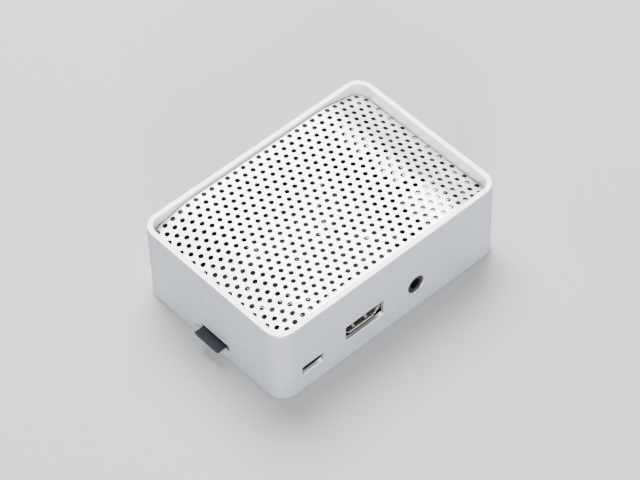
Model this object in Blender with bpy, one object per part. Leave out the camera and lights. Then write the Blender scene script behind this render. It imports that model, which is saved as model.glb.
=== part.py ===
"""Single board computer in a metal case with a perforated lid.

Sizes are in millimetres, and MM turns them into Blender's metres. The origin is the centre of the
case's underside. +X runs along the case to the USB end, the wall with the video socket faces -Y,
and +Z is up.
"""

import math

import bmesh
import bpy
from mathutils import Matrix, Vector

MM = 0.001

# The case.
CASE_LENGTH = 92.0
CASE_WIDTH = 64.0
CASE_HEIGHT = 30.5
CASE_CORNER = 6.0
WALL = 2.0
GAP = 0.3
OVERCUT = 1.0
EASE = 0.4
BOTTOM_EDGE = 0.8
RIM_EDGE = 0.3
INNER_X = CASE_LENGTH / 2 - WALL
INNER_Y = CASE_WIDTH / 2 - WALL
INNER_CORNER = CASE_CORNER - WALL

# The lid: flat in the middle, with both short ends bent down.
SHEET = 0.5
SHEET_TOP = CASE_HEIGHT - 1.2
SHEET_END_TOP = CASE_HEIGHT - 4.9
BEND_X = 29.7
SHELF_TOP = 24.7
SHELF_DEPTH = 2.0
SHELF_SIDE = 5.0
SHELF_NOSE = 2.0

# The bottom plate, its screws and the lugs that the screws hold.
PLATE = 1.5
LUG_TOP = 4.9
LUG_HALF = 3.5
LUG_REACH = 7.2
PLATE_SCREW_X = 33.0
PLATE_SCREW_Y = 26.0
SCREW_SHANK = 1.15
SCREW_HOLE = 1.45
HEAD = 2.35
PAN_HEAD = 1.6

# The board, on four pillars. Its sockets are placed from its front left corner.
BOARD_LENGTH = 85.0
BOARD_WIDTH = 56.0
BOARD = 1.4
BOARD_CORNER = 3.0
BOARD_LEFT = -43.4
BOARD_FRONT = -29.3
BOARD_BOTTOM = 6.8
BOARD_TOP = BOARD_BOTTOM + BOARD
HOLE_INSET = 3.5
HOLE_SPAN_X = 58.0
HOLE_SPAN_Y = 49.0
BOARD_HOLE = 1.5
PILLAR = 2.8
SOLDER = 0.2
SEAT = BOARD_TOP + SOLDER
HANG = BOARD_BOTTOM - SOLDER
CAN = 0.35
FACEPLATE = 0.5

# The sockets in the front wall.
POWER_X = BOARD_LEFT + 10.6
HDMI_X = BOARD_LEFT + 32.0
AUDIO_X = BOARD_LEFT + 53.5
AUDIO_Z = 11.2
AUDIO_BARREL = 2.95
HDMI_FRONT = -30.35
POWER_FRONT = -30.2
AUDIO_FRONT = -31.6
POWER_WINDOW = (8.6, 7.5, 11.0)
HDMI_WINDOW = (15.7, 8.6, 14.9)
AUDIO_WINDOW = 3.3

# The sockets in the right-hand wall.
USB_Y = (BOARD_FRONT + 29.0, BOARD_FRONT + 47.0)
ETHERNET_Y = BOARD_FRONT + 10.25
CAN_FRONT = 43.7
USB_BACK = 26.4
USB_TOP = 24.2
USB_HALF = 6.55
PORT_FLOORS = (9.2, 17.3)
PORT_HEIGHT = 5.6
PORT_HALF = 6.1
ETHERNET_BACK = 22.4
ETHERNET_TOP = 21.7
ETHERNET_HALF = 8.0

# The memory card, its socket under the board and its slot in the left-hand wall.
CARD_Y = -1.5
CARD_END = -49.5
CARD_LENGTH = 15.0
CARD_HALF = 5.5
CARD_BOTTOM = 5.5
CARD_TOP = 6.2
CARD_RIDGE = 0.3
SD_FRONT = -42.6
SD_BACK = -28.4
SD_HALF = 7.0
SD_FLOOR = 4.7
CARD_WINDOW = (-8.2, 4.5, 4.8, 7.0)

parts = None
cutters = None


def start():
    """An empty scene with one collection for the parts and one for the cutters."""
    global parts, cutters
    for old in list(bpy.data.objects):
        bpy.data.objects.remove(old, do_unlink=True)
    parts = bpy.data.collections.new("single_board_computer")
    cutters = bpy.data.collections.new("cutters")
    bpy.context.scene.collection.children.link(parts)
    bpy.context.scene.collection.children.link(cutters)


def material(name, colour, roughness, metallic):
    made = bpy.data.materials.new(name)
    made.use_nodes = True
    shader = made.node_tree.nodes["Principled BSDF"]
    shader.inputs["Base Color"].default_value = (*colour, 1.0)
    shader.inputs["Roughness"].default_value = roughness
    shader.inputs["Metallic"].default_value = metallic
    made.diffuse_color = (*colour, 1.0)
    return made


def add(name, shape, surface=None):
    """An object made from a bmesh: a part if it has a surface, or else a cutter."""
    mesh = bpy.data.meshes.new(name)
    shape.to_mesh(mesh)
    shape.free()
    made = bpy.data.objects.new(name, mesh)
    if surface is None:
        cutters.objects.link(made)
        made.hide_render = True
        made.display_type = "WIRE"
    else:
        parts.objects.link(made)
        mesh.materials.append(surface)
    return made


def block(name, low, high, surface=None, corner=0.0, steps=4, axis=2, top=0.0, bottom=0.0):
    """A box from its low corner to its high one. corner rounds the edges along one axis, and top
    and bottom round the outlines at that axis's ends."""
    low = Vector(low)
    high = Vector(high)
    shape = bmesh.new()
    bmesh.ops.create_cube(shape, size=1.0)
    size = high - low
    bmesh.ops.scale(shape, vec=size * MM, verts=shape.verts)
    bmesh.ops.translate(shape, vec=(low + high) / 2 * MM, verts=shape.verts)
    if corner > 0:
        round_edges(shape, corner, steps, lambda e: runs_along(e, axis))
    for edge_size, end in ((top, high[axis]), (bottom, low[axis])):
        if edge_size > 0:
            level = end * MM
            round_edges(shape, edge_size, 2, lambda e, level=level: lies_at(e, axis, level))
    return add(name, shape, surface)


def runs_along(edge, axis):
    way = edge.verts[1].co - edge.verts[0].co
    return abs(way[axis]) > 0.999 * way.length


def lies_at(edge, axis, level):
    return all(abs(v.co[axis] - level) < 1e-7 for v in edge.verts)


def round_edges(shape, size, steps, wanted):
    chosen = [e for e in shape.edges if wanted(e)]
    bmesh.ops.bevel(shape, geom=chosen, offset=size * MM, offset_type="OFFSET",
                    segments=steps, profile=0.5, affect="EDGES")


def rod(name, radius, low, high, surface=None, axis=2, end_radius=None, sides=20):
    """A cylinder between two points on a line along one axis, or a cone if its end differs."""
    low = Vector(low)
    high = Vector(high)
    shape = bmesh.new()
    turn = (Matrix.Rotation(math.pi / 2, 4, "Y"), Matrix.Rotation(-math.pi / 2, 4, "X"),
            Matrix.Identity(4))[axis]
    bmesh.ops.create_cone(shape, cap_ends=True, segments=sides, radius1=radius * MM,
                          radius2=(radius if end_radius is None else end_radius) * MM,
                          depth=(high - low).length * MM,
                          matrix=Matrix.Translation((low + high) / 2 * MM) @ turn)
    return add(name, shape, surface)


def outline(name, points, low, high, surface=None, axis=1):
    """A flat outline of (across, up) points, extruded from low to high along Y, or along Z."""
    shape = bmesh.new()
    place = {1: lambda p: (p[0], low, p[1]), 2: lambda p: (p[0], p[1], low)}[axis]
    face = shape.faces.new([shape.verts.new(Vector(place(p)) * MM) for p in points])
    grown = bmesh.ops.extrude_face_region(shape, geom=[face])
    step = Vector((0, 0, 0))
    step[axis] = (high - low) * MM
    moved = [g for g in grown["geom"] if isinstance(g, bmesh.types.BMVert)]
    bmesh.ops.translate(shape, vec=step, verts=moved)
    bmesh.ops.recalc_face_normals(shape, faces=shape.faces)
    return add(name, shape, surface)


def combine(target, operation, tools):
    for tool in tools:
        step = target.modifiers.new(f"{operation.lower()}_{tool.name}", "BOOLEAN")
        step.operation = operation
        step.solver = "EXACT"
        step.object = tool
    return target


def cut(target, *tools):
    return combine(target, "DIFFERENCE", tools)


def join(target, *tools):
    return combine(target, "UNION", tools)


def keep(target, *tools):
    return combine(target, "INTERSECT", tools)


def around(x, y, half_x, half_y, low, high):
    """The low and high corners of a box centred on x, y."""
    return (x - half_x, y - half_y, low), (x + half_x, y + half_y, high)


def board_holes():
    """The centres of the board's four holes."""
    left = BOARD_LEFT + HOLE_INSET
    front = BOARD_FRONT + HOLE_INSET
    return [(left + dx, front + dy) for dx in (0, HOLE_SPAN_X) for dy in (0, HOLE_SPAN_Y)]


def plate_screws():
    return [(x, y) for x in (-PLATE_SCREW_X, PLATE_SCREW_X) for y in (-PLATE_SCREW_Y, PLATE_SCREW_Y)]


def make_case_frame(metal):
    """The ring of four walls, with its shelves for the lid, its lugs and its windows."""
    x = CASE_LENGTH / 2
    y = CASE_WIDTH / 2
    frame = block("case_frame", (-x, -y, 0), (x, y, CASE_HEIGHT), metal, corner=CASE_CORNER,
                  steps=8, top=RIM_EDGE, bottom=BOTTOM_EDGE)
    cut(frame, block("cavity", (-INNER_X, -INNER_Y, -OVERCUT), (INNER_X, INNER_Y, CASE_HEIGHT + OVERCUT),
                     corner=INNER_CORNER, steps=8))
    for i, (side_x, side_y) in enumerate(((-1, -1), (-1, 1), (1, -1), (1, 1)), 1):
        join(frame, make_shelf(f"shelf_{i}", side_x, side_y))
    for i, (px, py) in enumerate(plate_screws(), 1):
        in_wall = math.copysign(INNER_Y + WALL / 2, py)
        inner = math.copysign(INNER_Y - LUG_REACH, py)
        low = (px - LUG_HALF, min(in_wall, inner), PLATE + GAP)
        high = (px + LUG_HALF, max(in_wall, inner), LUG_TOP)
        join(frame, block(f"lug_{i}", low, high))
        cut(frame, rod(f"lug_hole_{i}", SCREW_HOLE, (px, py, 0), (px, py, LUG_TOP + OVERCUT), sides=16))
    cut(frame, *make_front_windows(), *make_end_windows())
    return frame


def make_shelf(name, side_x, side_y):
    """A gusset across one corner of the ring, under the lid's corner."""
    wall_x = INNER_X + WALL / 2
    wall_y = INNER_Y + WALL / 2
    corner = (wall_x - 0.8 * WALL, wall_y - 0.8 * WALL)
    points = [(INNER_X - SHELF_SIDE, wall_y), corner, (wall_x, INNER_Y - SHELF_SIDE),
              (INNER_X - SHELF_NOSE, INNER_Y - SHELF_SIDE), (INNER_X - SHELF_SIDE, INNER_Y - SHELF_NOSE)]
    return outline(name, [(side_x * a, side_y * b) for a, b in points],
                   SHELF_TOP - SHELF_DEPTH, SHELF_TOP, axis=2)


def make_front_windows():
    """Cutters for the three sockets in the front wall."""
    near = -CASE_WIDTH / 2 - OVERCUT
    far = -INNER_Y + OVERCUT
    windows = []
    for name, x, (width, low, high) in (("power", POWER_X, POWER_WINDOW), ("hdmi", HDMI_X, HDMI_WINDOW)):
        windows.append(block(f"{name}_window", (x - width / 2, near, low), (x + width / 2, far, high),
                             corner=EASE, steps=2, axis=1))
    windows.append(rod("audio_window", AUDIO_WINDOW, (AUDIO_X, near, AUDIO_Z), (AUDIO_X, far, AUDIO_Z),
                       axis=1, sides=24))
    return windows


def make_end_windows():
    """Cutters for the sockets in the right-hand wall and for the card in the left-hand one."""
    sockets = [("ethernet", ETHERNET_Y, ETHERNET_HALF, ETHERNET_TOP)]
    sockets += [(f"usb_{i}", y, USB_HALF, USB_TOP) for i, y in enumerate(USB_Y, 1)]
    near = INNER_X - OVERCUT
    far = CASE_LENGTH / 2 + OVERCUT
    windows = [block(f"{name}_window", (near, y - half - EASE, BOARD_TOP - GAP),
                     (far, y + half + EASE, top + EASE), corner=EASE, steps=2, axis=0)
               for name, y, half, top in sockets]
    low_y, high_y, low_z, high_z = CARD_WINDOW
    windows.append(block("card_window", (-far, low_y, low_z), (-near, high_y, high_z),
                         corner=EASE, steps=2, axis=0))
    return windows


def make_top_grille(metal):
    """The lid's sheet: a bent strip, cut to the plan of the case's inside. Its perforations are left
    to the fine model, because some 570 holes don't fit a faceted solid of a sensible size."""
    end_x = INNER_X + OVERCUT
    slope = (SHEET_TOP - SHEET_END_TOP) / (INNER_X - GAP - BEND_X)
    end_top = SHEET_TOP - slope * (end_x - BEND_X)
    upright = SHEET / math.cos(math.atan(slope))
    inset = SHEET * math.tan(math.atan(slope) / 2)
    points = [(-end_x, end_top), (-BEND_X, SHEET_TOP), (BEND_X, SHEET_TOP), (end_x, end_top),
              (end_x, end_top - upright), (BEND_X - inset, SHEET_TOP - SHEET),
              (-BEND_X + inset, SHEET_TOP - SHEET), (-end_x, end_top - upright)]
    sheet = outline("top_grille", points, -INNER_Y - OVERCUT, INNER_Y + OVERCUT, metal)
    plan = block("lid_plan", (-INNER_X + GAP, -INNER_Y + GAP, SHELF_TOP - OVERCUT),
                 (INNER_X - GAP, INNER_Y - GAP, CASE_HEIGHT + OVERCUT), corner=INNER_CORNER - GAP, steps=6)
    return keep(sheet, plan)


def make_bottom_plate(metal):
    """The plate that closes the ring from below, with the board's four pillars on it."""
    plate = block("bottom_plate", (-INNER_X + GAP, -INNER_Y + GAP, 0), (INNER_X - GAP, INNER_Y - GAP, PLATE),
                  metal, corner=INNER_CORNER - GAP, steps=6)
    for i, (x, y) in enumerate(board_holes(), 1):
        join(plate, rod(f"pillar_{i}", PILLAR, (x, y, PLATE / 2), (x, y, BOARD_BOTTOM - GAP)))
        cut(plate, rod(f"pillar_hole_{i}", SCREW_HOLE, (x, y, PLATE - GAP), (x, y, BOARD_BOTTOM), sides=16))
    for i, (x, y) in enumerate(plate_screws(), 1):
        cut(plate, rod(f"plate_hole_{i}", SCREW_HOLE, (x, y, -OVERCUT), (x, y, PLATE + OVERCUT), sides=16),
            rod(f"countersink_{i}", HEAD + GAP + OVERCUT, (x, y, -OVERCUT), (x, y, PLATE - 0.2),
                end_radius=HEAD - 1.0, sides=24))
    return plate


def make_screws(steel):
    """Countersunk screws under the plate, and pan-headed ones that hold the board."""
    sunk = 0.05
    for i, (x, y) in enumerate(plate_screws(), 1):
        screw = rod(f"bottom_screw_{i}", HEAD, (x, y, sunk), (x, y, PLATE - GAP), steel,
                    end_radius=SCREW_SHANK, sides=24)
        join(screw, rod(f"bottom_shank_{i}", SCREW_SHANK, (x, y, 1.0), (x, y, LUG_TOP - GAP), sides=16))
        cut(screw, rod(f"bottom_drive_{i}", 0.75, (x, y, -OVERCUT), (x, y, 0.9), sides=6))
    rim = SEAT + PAN_HEAD - 0.5
    for i, (x, y) in enumerate(board_holes(), 1):
        screw = rod(f"board_screw_{i}", HEAD, (x, y, SEAT), (x, y, rim), steel, sides=24)
        join(screw, rod(f"board_head_{i}", HEAD, (x, y, rim - 0.1), (x, y, SEAT + PAN_HEAD),
                        end_radius=HEAD - 0.5, sides=24),
             rod(f"board_shank_{i}", SCREW_SHANK, (x, y, PLATE + 0.5), (x, y, rim), sides=16))
        cut(screw, rod(f"board_drive_{i}", 0.85, (x, y, SEAT + PAN_HEAD / 2), (x, y, SEAT + 2 * PAN_HEAD),
                       sides=6))


def make_board(laminate):
    board = block("circuit_board", (BOARD_LEFT, BOARD_FRONT, BOARD_BOTTOM),
                  (BOARD_LEFT + BOARD_LENGTH, BOARD_FRONT + BOARD_WIDTH, BOARD_TOP), laminate,
                  corner=BOARD_CORNER, steps=5)
    for i, (x, y) in enumerate(board_holes(), 1):
        cut(board, rod(f"board_hole_{i}", BOARD_HOLE, (x, y, BOARD_BOTTOM - OVERCUT),
                       (x, y, BOARD_TOP + OVERCUT), sides=16))
    return board


def socket_shell(name, x, front, depth, profile, hollow, steel):
    """A stamped shell along Y: an outer outline, hollowed by an inner one from its front."""
    shell = outline(name, [(x + a, b) for a, b in profile], front, front + depth, steel)
    return cut(shell, outline(f"{name}_hollow", [(x + a, b) for a, b in hollow],
                              front - OVERCUT, front + depth - CAN))


def d_profile(half_top, half_low, low, chamfer, high):
    """A socket's outline: square corners above and slanted ones below."""
    return [(-half_low, low), (half_low, low), (half_top, low + chamfer), (half_top, high),
            (-half_top, high), (-half_top, low + chamfer)]


def make_power_socket(steel, plastic):
    socket_shell("power_socket_shell", POWER_X, POWER_FRONT, 5.2,
                 d_profile(3.75, 2.9, SEAT, 0.95, SEAT + 2.6),
                 d_profile(3.45, 2.75, SEAT + 0.3, 0.8, SEAT + 2.3), steel)
    block("power_socket_tongue", (POWER_X - 1.75, POWER_FRONT + 0.9, SEAT + 1.45),
          (POWER_X + 1.75, POWER_FRONT + 4.5, SEAT + 2.0), plastic)


def make_hdmi_socket(steel, plastic):
    socket_shell("hdmi_shell", HDMI_X, HDMI_FRONT, 11.5,
                 d_profile(7.5, 5.1, SEAT + 0.3, 2.3, SEAT + 6.2),
                 d_profile(7.15, 4.95, SEAT + 0.65, 2.1, SEAT + 5.85), steel)
    block("hdmi_tongue", (HDMI_X - 5.0, HDMI_FRONT + 1.2, SEAT + 3.0),
          (HDMI_X + 5.0, HDMI_FRONT + 10.8, SEAT + 4.3), plastic)


def make_audio_jack(plastic, metal):
    """A box with a barrel in front, bored through to a ring contact."""
    back = AUDIO_FRONT + 14.0
    bore_end = back - 1.0
    ring = (back - 4.0, back - 1.4)
    jack = block("audio_jack", (AUDIO_X - 3.4, BOARD_FRONT + EASE, SEAT), (AUDIO_X + 3.4, back, SEAT + 6.0),
                 plastic)
    join(jack, rod("audio_barrel", AUDIO_BARREL, (AUDIO_X, AUDIO_FRONT, AUDIO_Z),
                   (AUDIO_X, BOARD_FRONT + 2, AUDIO_Z), axis=1, sides=24))
    cut(jack, rod("audio_bore", 1.8, (AUDIO_X, AUDIO_FRONT - OVERCUT, AUDIO_Z), (AUDIO_X, bore_end, AUDIO_Z),
                  axis=1))
    contact = rod("audio_contact", 1.6, (AUDIO_X, ring[0], AUDIO_Z), (AUDIO_X, ring[1], AUDIO_Z), metal,
                  axis=1, sides=16)
    cut(contact, rod("audio_contact_bore", 1.2, (AUDIO_X, ring[0] - OVERCUT, AUDIO_Z),
                     (AUDIO_X, ring[1] + OVERCUT, AUDIO_Z), axis=1, sides=16))


def make_usb_sockets(steel, plastic):
    """Two double sockets. In each, a can with two mouths holds an insert with two tongues."""
    inner = USB_HALF - CAN
    held = inner - GAP
    root = USB_BACK + 2.0
    for i, y in enumerate(USB_Y, 1):
        can = block(f"usb_shell_{i}", (USB_BACK, y - USB_HALF, SEAT), (CAN_FRONT, y + USB_HALF, USB_TOP),
                    steel)
        cut(can, block(f"usb_hollow_{i}", (USB_BACK + CAN, y - inner, SEAT + CAN),
                       (CAN_FRONT - FACEPLATE, y + inner, USB_TOP - CAN)))
        insert = block(f"usb_insert_{i}", (USB_BACK + CAN + GAP, y - held, SEAT + CAN + GAP),
                       (root + 0.4, y + held, USB_TOP - CAN - GAP), plastic)
        join(insert, block(f"usb_divider_{i}", (root, y - held, PORT_FLOORS[0] + PORT_HEIGHT),
                           (CAN_FRONT - FACEPLATE - GAP, y + held, PORT_FLOORS[1])))
        for level, floor in enumerate(PORT_FLOORS):
            cut(can, block(f"usb_mouth_{i}_{level}", (CAN_FRONT - 2 * FACEPLATE, y - PORT_HALF, floor),
                           (CAN_FRONT + OVERCUT, y + PORT_HALF, floor + PORT_HEIGHT)))
            join(insert, block(f"usb_tongue_{i}_{level}", (root, y - 5.5, floor + 3.2),
                               (CAN_FRONT - 1.2, y + 5.5, floor + 5.0)))


def make_ethernet_socket(steel, plastic):
    """A can with one mouth, and an insert with room for a plug and, below it, its latch."""
    y = ETHERNET_Y
    inner = ETHERNET_HALF - CAN
    held = inner - GAP
    can = block("ethernet_shell", (ETHERNET_BACK, y - ETHERNET_HALF, SEAT),
                (CAN_FRONT, y + ETHERNET_HALF, ETHERNET_TOP), steel)
    cut(can, block("ethernet_hollow", (ETHERNET_BACK + CAN, y - inner, SEAT + CAN),
                   (CAN_FRONT - FACEPLATE, y + inner, ETHERNET_TOP - CAN)),
        block("ethernet_mouth", (CAN_FRONT - 2 * FACEPLATE, y - 7.0, SEAT + 1.0),
              (CAN_FRONT + OVERCUT, y + 7.0, ETHERNET_TOP - 1.6)))
    insert = block("ethernet_insert", (ETHERNET_BACK + CAN + GAP, y - held, SEAT + CAN + GAP),
                   (CAN_FRONT - FACEPLATE - GAP, y + held, ETHERNET_TOP - CAN - GAP), plastic)
    cut(insert, block("plug_space", (ETHERNET_BACK + 8, y - 6.0, SEAT + 3.4),
                      (CAN_FRONT + OVERCUT, y + 6.0, SEAT + 10.6)),
        block("latch_space", (ETHERNET_BACK + 8, y - 3.0, SEAT + 1.8),
              (CAN_FRONT + OVERCUT, y + 3.0, SEAT + 6.0)))


def make_gpio_header(plastic):
    """Two rows of twenty pins and their base, as one solid."""
    x = BOARD_LEFT + 32.5
    y = BOARD_FRONT + 52.5
    pitch = 2.54
    pin = 0.32
    header = block("gpio_header", *around(x, y, 10 * pitch, pitch, SEAT, SEAT + 2.5), plastic)
    for row in (-0.5, 0.5):
        for column in range(20):
            px = x + (column - 9.5) * pitch
            join(header, block(f"pin_{row}_{column}",
                               *around(px, y + row * pitch, pin, pin, SEAT + 1, SEAT + 8.4)))


def make_cable_connectors(body_plastic, latch_plastic):
    """Two upright flat-cable connectors, with latches that lift to free the cable."""
    places = (("camera", BOARD_LEFT + 45.0, BOARD_FRONT + 11.5),
              ("display", BOARD_LEFT + 3.7, BOARD_FRONT + 28.0))
    for name, x, y in places:
        body = block(f"{name}_connector", *around(x, y, 1.7, 10.0, SEAT, SEAT + 4.2), body_plastic)
        cut(body, block(f"{name}_slot", (x - 0.6, y - 8.6, SEAT + 1.2), (x + 1.1, y + 8.6, SEAT + 6)))
        latch = block(f"{name}_latch", *around(x, y, 1.7, 11.0, SEAT + 4.5, SEAT + 5.6), latch_plastic)
        cut(latch, block(f"{name}_latch_slot", (x - 0.8, y - 8.2, SEAT), (x - 0.1, y + 8.2, SEAT + 9)))
        join(latch, block(f"{name}_wedge", (x + 0.2, y - 8.0, SEAT + 2.0), (x + 0.8, y + 8.0, SEAT + 5.0)))


def make_card_socket(steel, plastic):
    """A plastic base with room for the card, in a stamped cover that hangs below it."""
    room = CARD_HALF + 0.2
    mouth = SD_FRONT - OVERCUT
    base = block("sd_socket_base", (SD_FRONT, CARD_Y - SD_HALF, CARD_BOTTOM - 0.25),
                 (SD_BACK, CARD_Y + SD_HALF, HANG), plastic)
    cut(base, block("card_space", (mouth, CARD_Y - room, SD_FLOOR),
                    (SD_BACK - 2.1, CARD_Y + room, CARD_TOP + 0.15)))
    side = SD_HALF + 0.25
    cover = block("sd_socket_cover", (SD_FRONT, CARD_Y - side - 0.25, SD_FLOOR),
                  (SD_BACK, CARD_Y + side + 0.25, HANG), steel)
    cut(cover, block("cover_space", (mouth, CARD_Y - side, SD_FLOOR + 0.25),
                     (SD_BACK + OVERCUT, CARD_Y + side, HANG + OVERCUT)))


def make_card(plastic):
    """The memory card, with the ridge that a fingernail pulls and the step along one side."""
    card = block("sd_card", (CARD_END, CARD_Y - CARD_HALF, CARD_BOTTOM),
                 (CARD_END + CARD_LENGTH, CARD_Y + CARD_HALF, CARD_TOP), plastic, corner=0.8, steps=3)
    join(card, block("card_ridge", (CARD_END, CARD_Y - CARD_HALF + 0.8, CARD_BOTTOM - CARD_RIDGE),
                     (CARD_END + 1.4, CARD_Y + CARD_HALF - 0.8, CARD_BOTTOM + 0.3)))
    side = CARD_Y + CARD_HALF
    inside = side - 1.3
    step = [(CARD_END + 8.6, inside), (CARD_END + CARD_LENGTH + 1, inside),
            (CARD_END + CARD_LENGTH + 1, side + 1), (CARD_END + 7.3, side + 1), (CARD_END + 7.3, side)]
    cut(card, outline("card_step", step, CARD_BOTTOM - 1, CARD_TOP + 1, axis=2))


def chip(name, x, y, half_x, half_y, height, surface, below=False):
    """A small part soldered to the board, placed from the board's front left corner."""
    low, high = (HANG - height, HANG) if below else (SEAT, SEAT + height)
    return block(name, *around(BOARD_LEFT + x, BOARD_FRONT + y, half_x, half_y, low, high), surface,
                 corner=0.15, steps=1)


def make_small_parts(chips, steel, ceramic, inductor, lens):
    chip("processor", 25.8, 32.0, 7.0, 7.0, 1.2, chips)
    chip("memory_chip", 25.8, 32.0, 6.0, 6.0, 0.9, chips, below=True)
    chip("network_chip", 55.5, 31.0, 4.5, 4.5, 0.9, chips)
    chip("power_regulator", 9.0, 15.6, 2.0, 2.0, 0.8, chips)
    chip("usb_power_switch", 63.0, 41.5, 1.3, 1.5, 1.0, chips)
    chip("crystal_main", 37.5, 38.5, 1.6, 1.25, 0.8, steel)
    chip("crystal_network", 55.5, 22.6, 1.6, 1.25, 0.8, steel)
    chip("power_inductor_1", 14.6, 15.6, 2.0, 2.0, 1.9, inductor)
    chip("power_inductor_2", 14.6, 20.6, 2.0, 2.0, 1.9, inductor)
    chip("input_fuse", 18.2, 8.6, 1.6, 2.3, 0.8, ceramic)
    chip("bulk_capacitor_1", 49.5, 16.0, 1.4, 2.0, 1.9, ceramic)
    chip("bulk_capacitor_2", 62.3, 16.6, 1.4, 1.8, 1.9, ceramic)
    chip("led_power", 1.5, 7.9, 0.8, 0.5, 0.6, lens)
    chip("led_activity", 1.5, 11.5, 0.8, 0.5, 0.6, lens)


def main():
    start()
    aluminium = material("case_aluminium", (0.62, 0.63, 0.65), 0.45, 1.0)
    sheet_metal = material("grille_aluminium", (0.80, 0.80, 0.79), 0.35, 1.0)
    steel = material("screw_steel", (0.35, 0.35, 0.36), 0.4, 1.0)
    plated = material("plated_steel", (0.66, 0.65, 0.62), 0.3, 1.0)
    black = material("socket_plastic", (0.02, 0.02, 0.022), 0.5, 0.0)
    cream = material("connector_plastic", (0.62, 0.57, 0.47), 0.55, 0.0)
    laminate = material("board_laminate", (0.02, 0.17, 0.06), 0.4, 0.0)
    epoxy = material("chip_epoxy", (0.025, 0.025, 0.028), 0.45, 0.0)
    gold = material("contact_gold", (0.8, 0.58, 0.22), 0.3, 1.0)
    ceramic = material("capacitor_body", (0.35, 0.22, 0.06), 0.5, 0.0)
    ferrite = material("inductor_body", (0.09, 0.09, 0.095), 0.6, 0.0)
    slate = material("card_plastic", (0.035, 0.042, 0.055), 0.4, 0.0)
    lens = material("led_lens", (0.75, 0.74, 0.62), 0.3, 0.0)
    make_case_frame(aluminium)
    make_top_grille(sheet_metal)
    make_bottom_plate(aluminium)
    make_screws(steel)
    make_board(laminate)
    make_power_socket(plated, black)
    make_hdmi_socket(plated, black)
    make_audio_jack(black, gold)
    make_usb_sockets(plated, black)
    make_ethernet_socket(plated, black)
    make_gpio_header(black)
    make_cable_connectors(cream, black)
    make_card_socket(plated, black)
    make_card(slate)
    make_small_parts(epoxy, plated, ceramic, ferrite, lens)


main()
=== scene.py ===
"""The looks of the single board computer in its metal case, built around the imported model.

Shapes are made in millimetres, and piece() turns them into Blender's metres. The frame is the
model's own: the origin is the centre of the case's underside, the video socket's wall faces -Y,
the memory card's wall faces -X, and +Z is up.
"""

import math
import random

import bmesh
import bpy
from mathutils import Matrix, Vector


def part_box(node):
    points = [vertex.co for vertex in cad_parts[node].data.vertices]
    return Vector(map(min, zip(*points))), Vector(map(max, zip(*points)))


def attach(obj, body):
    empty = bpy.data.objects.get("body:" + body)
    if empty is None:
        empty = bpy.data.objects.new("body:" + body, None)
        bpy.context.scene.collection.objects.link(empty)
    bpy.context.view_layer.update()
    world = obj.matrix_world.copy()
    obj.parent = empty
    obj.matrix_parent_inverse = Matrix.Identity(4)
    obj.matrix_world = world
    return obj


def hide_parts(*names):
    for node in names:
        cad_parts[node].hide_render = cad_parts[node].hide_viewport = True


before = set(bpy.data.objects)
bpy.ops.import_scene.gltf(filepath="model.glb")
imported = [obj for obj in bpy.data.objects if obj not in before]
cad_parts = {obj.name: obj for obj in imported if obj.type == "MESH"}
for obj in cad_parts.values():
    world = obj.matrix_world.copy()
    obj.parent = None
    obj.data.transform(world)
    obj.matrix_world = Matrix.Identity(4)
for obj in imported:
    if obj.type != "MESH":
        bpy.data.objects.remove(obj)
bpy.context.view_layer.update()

MM = 0.001
TINY = 1e-6
PAST = 1.0  # how far a cutter runs past what it cuts
SINK = 0.02  # how deep a thin mark sits in what it lies on
CREASE = 32.0  # degrees

# The case ring. Its outer size comes from the frame. RELIEF is the depth of the pocket behind the
# power and video windows, and SHELF and LUG are heights. A window is a width, a floor and a top, the
# audio one is a radius, and the card's is two corners.
CASE_CORNER = 6.0
WALL = 2.0
BOTTOM_EDGE = 0.8
RIM_EDGE = 0.35
RELIEF = 0.7
FLARE = 0.15
EASE = 0.4
SHELF_SIDE = 5.0
SHELF_NOSE = 2.0
SHELF = (22.7, 24.7)
LUG_HALF = 3.5
LUG_REACH = 7.2
LUG = (1.8, 4.9)
POWER_WINDOW = (8.6, 7.5, 11.0)
HDMI_WINDOW = (15.7, 8.6, 14.9)
AUDIO_WINDOW = 3.3
CARD_WINDOW = ((-8.2, 4.8), (4.5, 7.0))

# The perforated lid: a triangular lattice of holes on a strip with both ends bent down. Its ends
# drop by LID_DROP, left and right.
PITCH = 3.227
ROW = PITCH * math.sqrt(3) / 2
HOLE = 0.86
LIP = 0.05
LIP_DROP = 0.05
HOLE_SIDES = 24
LATTICE_AT = (-0.3, 0.32)
SHEET = 0.5
BEND_AT = 29.7
BEND_RADIUS = 30.0
LID_DROP = {-1: 3.3, 1: 3.7}
LID_GAP = 0.12

# The board and what stands on it. CAN and FACE are a socket shell's wall and front, PORT_* give the
# double sockets' mouths, and BARREL and BORE are the audio jack's radii.
BOARD_CORNER = 3.0
BOARD_HOLE = 1.5
PILLAR = 2.8
SCREW_HOLE = 1.45
SHANK = 1.15
THREAD_PITCH = 0.4
HEAD = 2.35
PLATE = 1.5
CAN = 0.35
FACE = 0.5
PORT_FLOORS = (9.2, 17.3)
PORT_HEIGHT = 5.6
PORT_HALF = 6.1
BARREL = 2.95
BORE = 1.8
PIN_PITCH = 2.54
PIN_COLUMNS = 20
CABLE_CONTACTS = 15
CARD_RIDGE = 0.3
VIAS = 150
VIA_SEED = 7
TRACE_WIDTH = 0.22
TRACE_RISE = 0.025

# The camera, as it stood for the photograph.
EYE = (-372.8, -427.8, 675.4)
AIM = (-1.518, -0.942, 15.25)
ROLL = -1.835
FOCAL_LENGTH = 157.6


# ---- shapes ----


def span(node):
    """A CAD node's lowest and highest corners, in millimetres."""
    low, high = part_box(node)
    return low / MM, high / MM


def middle(node):
    low, high = span(node)
    return (low + high) / 2


def measured(node):
    return *span(node), middle(node)


def set_point(point, level, axis):
    across, up = point
    return {0: (level, across, up), 1: (across, level, up), 2: (across, up, level)}[axis]


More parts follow.
